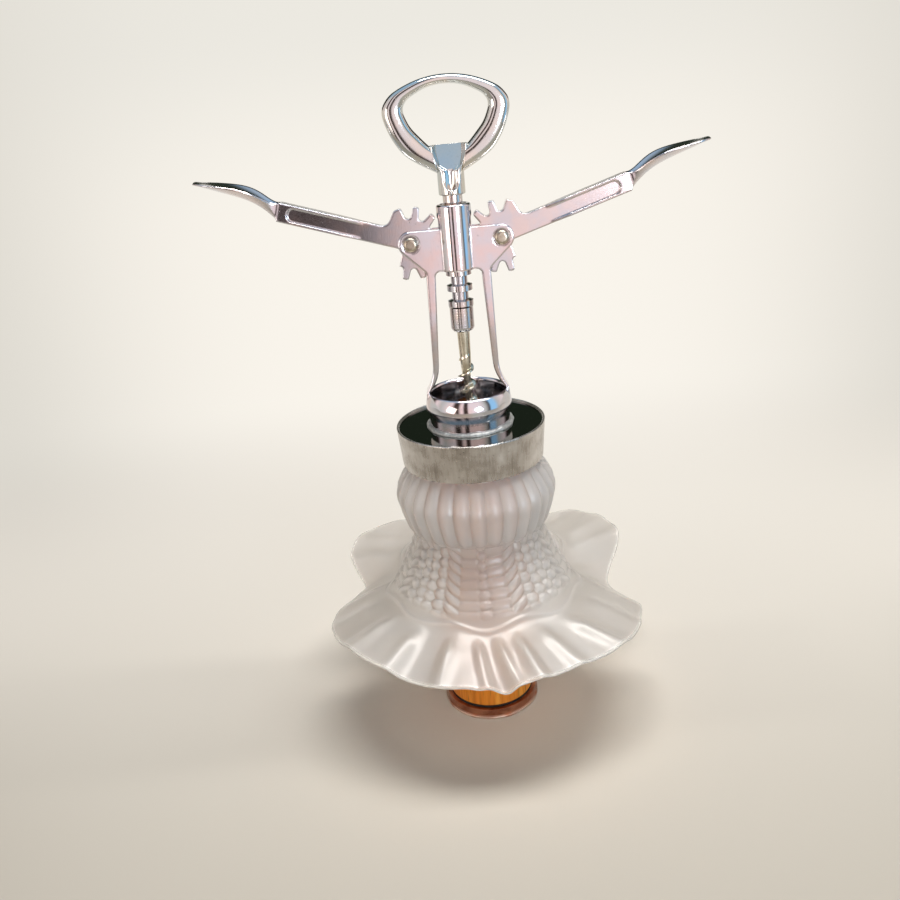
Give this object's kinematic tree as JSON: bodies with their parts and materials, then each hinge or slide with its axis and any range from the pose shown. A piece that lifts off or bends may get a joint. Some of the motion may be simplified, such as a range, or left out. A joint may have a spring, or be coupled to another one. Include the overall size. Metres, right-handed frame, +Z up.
{
  "type": "standing wing corkscrew",
  "caption": "Wing corkscrew with an opener-ring handle, cemented on a metal cap that holds a ruffled frosted glass shade, on a wooden post in a metal foot.",
  "frame": {"origin": "centre of the foot ring's underside", "axes": "+Z up along the post and the worm, -Y towards the viewer, +X along the right-hand lever"},
  "size_m": [0.199, 0.1355, 0.2788],
  "materials": {
    "copper": "polished copper plating, worn",
    "wood": "oiled, straight vertical grain",
    "satin_nickel": "satin nickel outside, mirror deck",
    "screw_steel": "zinc plated",
    "frosted_glass": "frosted, pressed relief, fire-polished hem",
    "cement": "rough set cement",
    "chrome": "bright chrome plating",
    "rivet_metal": "peened heads",
    "worm_steel": "brass-tinted steel"
  },
  "bodies": {
    "frame": {"frame_casting": "chrome", "left_rivet": "rivet_metal", "right_rivet": "rivet_metal", "cement_bead": "cement", "shade_cap": "satin_nickel", "neck_packing": "cement", "glass_shade": "frosted_glass", "wooden_post": "wood", "post_screws": "screw_steel", "foot_ring": "copper"},
    "rack": {"rack_sleeve": "chrome"},
    "spindle": {"opener_handle": "chrome", "spindle_rod": "chrome", "ferrule": "chrome", "worm": "worm_steel"},
    "left_lever": {"left_lever": "chrome"},
    "right_lever": {"right_lever": "chrome"}
  },
  "joints": [
    {"name": "rack_slide", "type": "slide", "parent": "frame", "child": "rack", "axis": [0, 0, 1], "range_m": [-0.0029, 0.0188]},
    {"name": "spindle_spin", "type": "hinge", "parent": "rack", "child": "spindle", "pos_m": [0, 0, 0.2354], "axis": [0, 0, 1], "continuous": true},
    {"name": "left_lever_swing", "type": "hinge", "parent": "frame", "child": "left_lever", "pos_m": [-0.018, 0, 0.218], "axis": [0, 1, 0], "range_deg": [-90, 14]},
    {"name": "right_lever_swing", "type": "hinge", "parent": "frame", "child": "right_lever", "pos_m": [0.018, 0, 0.218], "axis": [0, -1, 0], "range_deg": [-90, 14]}
  ],
  "couplings": [
    {"joint": "left_lever_swing", "follows": "rack_slide", "rad_per_m": -83.333},
    {"joint": "right_lever_swing", "follows": "rack_slide", "rad_per_m": -83.333}
  ]
}
